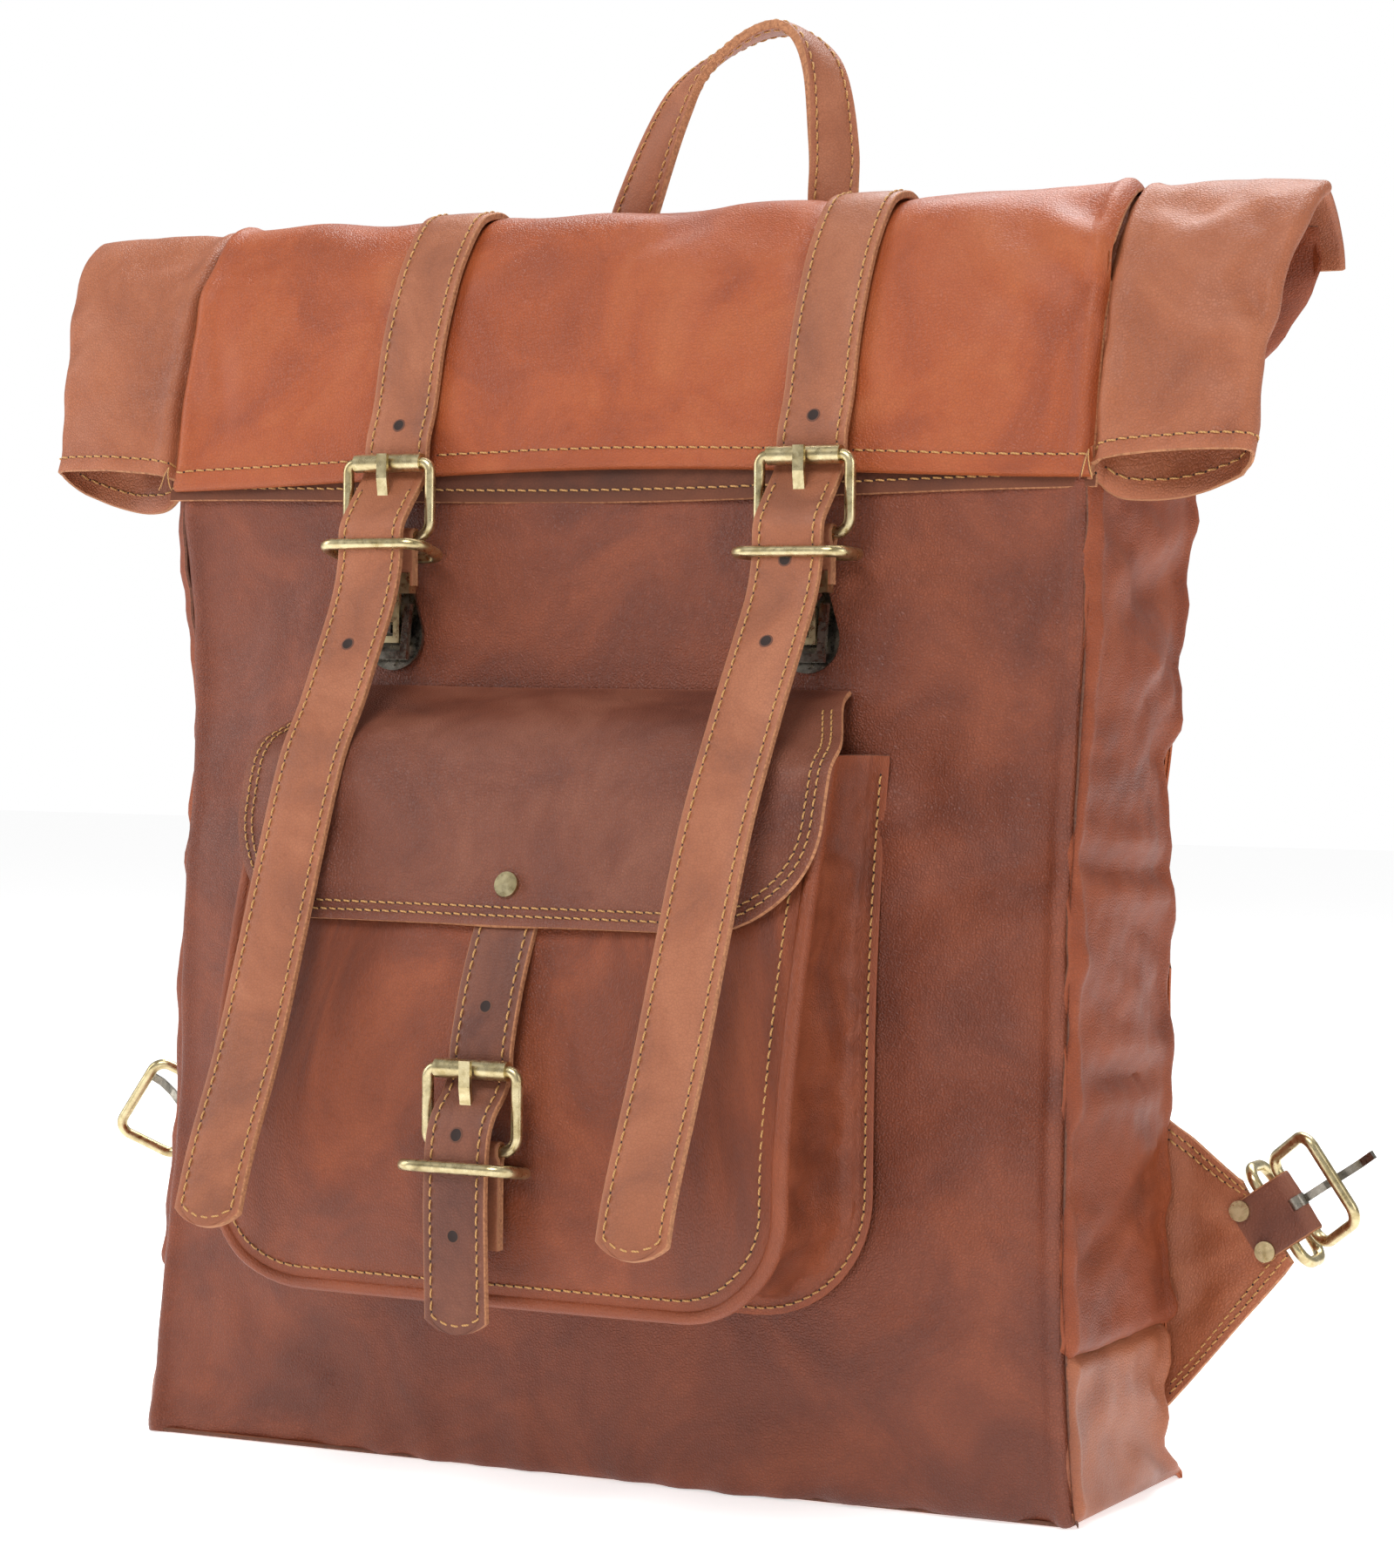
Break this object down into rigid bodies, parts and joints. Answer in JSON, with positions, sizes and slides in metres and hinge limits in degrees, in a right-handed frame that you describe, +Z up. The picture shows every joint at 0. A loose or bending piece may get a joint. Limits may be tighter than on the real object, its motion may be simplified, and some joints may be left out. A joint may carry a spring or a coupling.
{
  "type": "roll-top leather backpack",
  "caption": "Leather backpack with a folded roll top, buckled front straps, a flapped front pocket with its own buckle, a carry handle and shoulder straps.",
  "frame": {"origin": "on the floor, under the middle of the bag's base", "axes": "+Z up, -Y out of the front with the pocket, +X to the viewer's right"},
  "size_m": [0.5604, 0.2599, 0.5694],
  "materials": {
    "body_leather": "waxed, softly glossy",
    "flap_leather": "waxed, softly glossy",
    "pocket_leather": "waxed, softly glossy",
    "strap_leather": "satin, raw cut edges",
    "lining_cloth": "plain weave",
    "thread": "waxed thread",
    "antique_brass": "antiqued",
    "dark_nickel": "antiqued"
  },
  "bodies": {
    "bag": {"front_panel": "body_leather", "back_panel": "body_leather", "base_strip": "body_leather", "lining": "lining_cloth", "rolltop_fold": "flap_leather", "left_gusset": "body_leather", "right_gusset": "body_leather", "left_strap_fold": "strap_leather", "right_strap_fold": "strap_leather", "pocket_front": "pocket_leather", "pocket_gusset": "pocket_leather", "snap_socket": "antique_brass", "handle_tabs": "strap_leather", "left_lock_plate": "dark_nickel", "right_lock_plate": "dark_nickel"},
    "roll_flap": {"flap_outer_ply": "flap_leather", "flap_inner_ply": "flap_leather"},
    "pocket_cover": {"pocket_flap": "pocket_leather", "pocket_strap": "strap_leather", "pocket_stud": "antique_brass", "snap_stud": "antique_brass", "pocket_frame": "antique_brass", "pocket_tab": "strap_leather"},
    "pocket_roller": {"pocket_roller": "antique_brass"},
    "pocket_prong": {"pocket_prong": "antique_brass"},
    "pocket_ring": {"pocket_ring": "antique_brass"},
    "carry_handle": {"handle": "strap_leather"},
    "left_front_strap": {"left_strap": "strap_leather", "left_frame": "antique_brass", "left_tab": "strap_leather", "left_tab_clamp": "antique_brass"},
    "left_roller": {"left_roller": "antique_brass"},
    "left_prong": {"left_prong": "antique_brass"},
    "left_ring": {"left_ring": "antique_brass"},
    "left_strap_tail": {"left_strap_tail": "strap_leather"},
    "left_lock_lever": {"left_lock_lever": "dark_nickel"},
    "left_shoulder_strap": {"left_shoulder_strap": "strap_leather"},
    "left_anchor": {"left_anchor_patch": "strap_leather", "left_anchor_rivets": "antique_brass", "left_chape": "strap_leather"},
    "left_shoulder_frame": {"left_shoulder_frame": "antique_brass"},
    "left_shoulder_prong": {"left_shoulder_prong": "dark_nickel"},
    "left_shoulder_ring": {"left_shoulder_ring": "antique_brass"},
    "right_front_strap": {"right_strap": "strap_leather", "right_frame": "antique_brass", "right_tab": "strap_leather", "right_tab_clamp": "antique_brass"},
    "right_roller": {"right_roller": "antique_brass"},
    "right_prong": {"right_prong": "antique_brass"},
    "right_ring": {"right_ring": "antique_brass"},
    "right_strap_tail": {"right_strap_tail": "strap_leather"},
    "right_lock_lever": {"right_lock_lever": "dark_nickel"},
    "right_shoulder_strap": {"right_shoulder_strap": "strap_leather"},
    "right_anchor": {"right_anchor_patch": "strap_leather", "right_anchor_rivets": "antique_brass", "right_chape": "strap_leather"},
    "right_shoulder_frame": {"right_shoulder_frame": "antique_brass"},
    "right_shoulder_prong": {"right_shoulder_prong": "dark_nickel"},
    "right_shoulder_ring": {"right_shoulder_ring": "antique_brass"}
  },
  "joints": [
    {"name": "roll_top", "type": "hinge", "parent": "bag", "child": "roll_flap", "pos_m": [0, -0.012, 0.47], "axis": [-1, 0, 0], "range_deg": [0, 160], "deforming": ["rolltop_fold", "left_strap_fold", "right_strap_fold"]},
    {"name": "pocket_cover", "type": "hinge", "parent": "bag", "child": "pocket_cover", "pos_m": [0, -0.0624, 0.3], "axis": [-1, 0, 0], "range_deg": [0, 75]},
    {"name": "left_strap_lift", "type": "hinge", "parent": "bag", "child": "left_front_strap", "pos_m": [-0.0905, -0.012, 0.47], "axis": [-1, 0, 0], "range_deg": [0, 160]},
    {"name": "left_roller_spin", "type": "hinge", "parent": "left_front_strap", "child": "left_roller", "pos_m": [-0.0905, -0.062, 0.391], "axis": [1, 0, 0], "continuous": true},
    {"name": "left_prong_lift", "type": "hinge", "parent": "left_front_strap", "child": "left_prong", "pos_m": [-0.0905, -0.062, 0.362], "axis": [1, 0, 0], "range_deg": [0, 4]},
    {"name": "left_ring_tilt", "type": "hinge", "parent": "left_front_strap", "child": "left_ring", "pos_m": [-0.0905, -0.0573, 0.354], "axis": [1, 0, 0], "range_deg": [-6, 10]},
    {"name": "left_tail_lift", "type": "hinge", "parent": "left_front_strap", "child": "left_strap_tail", "pos_m": [-0.0905, -0.0734, 0.343], "axis": [-1, 0, 0], "range_deg": [0, 75]},
    {"name": "left_lock_press", "type": "hinge", "parent": "bag", "child": "left_lock_lever", "pos_m": [-0.0905, -0.05972, 0.3359], "axis": [1, 0, 0], "range_deg": [0, 5], "stiffness_Nm_per_rad": 0.02, "springref_deg": -2.86},
    {"name": "left_shoulder_swing", "type": "hinge", "parent": "bag", "child": "left_shoulder_strap", "pos_m": [-0.095, 0.046, 0.448], "axis": [1, 0, 0], "range_deg": [0, 60]},
    {"name": "left_anchor_fold", "type": "hinge", "parent": "bag", "child": "left_anchor", "pos_m": [-0.2006, 0.041, 0.104], "axis": [0, 0, -1], "range_deg": [-15, 60]},
    {"name": "left_shoulder_frame_tilt", "type": "hinge", "parent": "left_anchor", "child": "left_shoulder_frame", "pos_m": [-0.2504, 0.041, 0.11226], "axis": [-0.5736, 0, -0.8192], "range_deg": [-25, 40]},
    {"name": "left_shoulder_prong_tilt", "type": "hinge", "parent": "left_anchor", "child": "left_shoulder_prong", "pos_m": [-0.2504, 0.041, 0.11226], "axis": [-0.5736, 0, -0.8192], "range_deg": [-8, 30]},
    {"name": "left_shoulder_ring_tilt", "type": "hinge", "parent": "left_anchor", "child": "left_shoulder_ring", "pos_m": [-0.2422, 0.041, 0.10652], "axis": [-0.5736, 0, -0.8192], "range_deg": [-20, 20]},
    {"name": "right_strap_lift", "type": "hinge", "parent": "bag", "child": "right_front_strap", "pos_m": [0.0905, -0.012, 0.47], "axis": [-1, 0, 0], "range_deg": [0, 160]},
    {"name": "right_roller_spin", "type": "hinge", "parent": "right_front_strap", "child": "right_roller", "pos_m": [0.0905, -0.062, 0.391], "axis": [1, 0, 0], "continuous": true},
    {"name": "right_prong_lift", "type": "hinge", "parent": "right_front_strap", "child": "right_prong", "pos_m": [0.0905, -0.062, 0.362], "axis": [1, 0, 0], "range_deg": [0, 4]},
    {"name": "right_ring_tilt", "type": "hinge", "parent": "right_front_strap", "child": "right_ring", "pos_m": [0.0905, -0.0573, 0.354], "axis": [1, 0, 0], "range_deg": [-6, 10]},
    {"name": "right_tail_lift", "type": "hinge", "parent": "right_front_strap", "child": "right_strap_tail", "pos_m": [0.0905, -0.0734, 0.343], "axis": [-1, 0, 0], "range_deg": [0, 75]},
    {"name": "right_lock_press", "type": "hinge", "parent": "bag", "child": "right_lock_lever", "pos_m": [0.0905, -0.05972, 0.3359], "axis": [1, 0, 0], "range_deg": [0, 5], "stiffness_Nm_per_rad": 0.02, "springref_deg": -2.86},
    {"name": "right_shoulder_swing", "type": "hinge", "parent": "bag", "child": "right_shoulder_strap", "pos_m": [0.095, 0.046, 0.448], "axis": [1, 0, 0], "range_deg": [0, 60]},
    {"name": "right_anchor_fold", "type": "hinge", "parent": "bag", "child": "right_anchor", "pos_m": [0.2006, 0.041, 0.104], "axis": [0, 0, 1], "range_deg": [-15, 60]},
    {"name": "right_shoulder_frame_tilt", "type": "hinge", "parent": "right_anchor", "child": "right_shoulder_frame", "pos_m": [0.2504, 0.041, 0.11226], "axis": [-0.5736, 0, 0.8192], "range_deg": [-25, 40]},
    {"name": "right_shoulder_prong_tilt", "type": "hinge", "parent": "right_anchor", "child": "right_shoulder_prong", "pos_m": [0.2504, 0.041, 0.11226], "axis": [-0.5736, 0, 0.8192], "range_deg": [-8, 30]},
    {"name": "right_shoulder_ring_tilt", "type": "hinge", "parent": "right_anchor", "child": "right_shoulder_ring", "pos_m": [0.2422, 0.041, 0.10652], "axis": [-0.5736, 0, 0.8192], "range_deg": [-20, 20]},
    {"name": "pocket_roller_spin", "type": "hinge", "parent": "pocket_cover", "child": "pocket_roller", "pos_m": [0.0025, -0.151, 0.165], "axis": [1, 0, 0], "continuous": true},
    {"name": "pocket_prong_lift", "type": "hinge", "parent": "pocket_cover", "child": "pocket_prong", "pos_m": [0.0025, -0.151, 0.136], "axis": [1, 0, 0], "range_deg": [0, 4]},
    {"name": "pocket_ring_tilt", "type": "hinge", "parent": "pocket_cover", "child": "pocket_ring", "pos_m": [0.0025, -0.1463, 0.128], "axis": [1, 0, 0], "range_deg": [-6, 10]},
    {"name": "handle_fold", "type": "hinge", "parent": "bag", "child": "carry_handle", "pos_m": [0.008, 0.0302, 0.455], "axis": [-1, 0, 0], "range_deg": [-10, 75]}
  ],
  "couplings": [
    {"joint": "left_strap_lift", "follows": "roll_top", "ratio": 1},
    {"joint": "left_tail_lift", "follows": "pocket_cover", "ratio": 1},
    {"joint": "right_strap_lift", "follows": "roll_top", "ratio": 1},
    {"joint": "right_tail_lift", "follows": "pocket_cover", "ratio": 1}
  ]
}
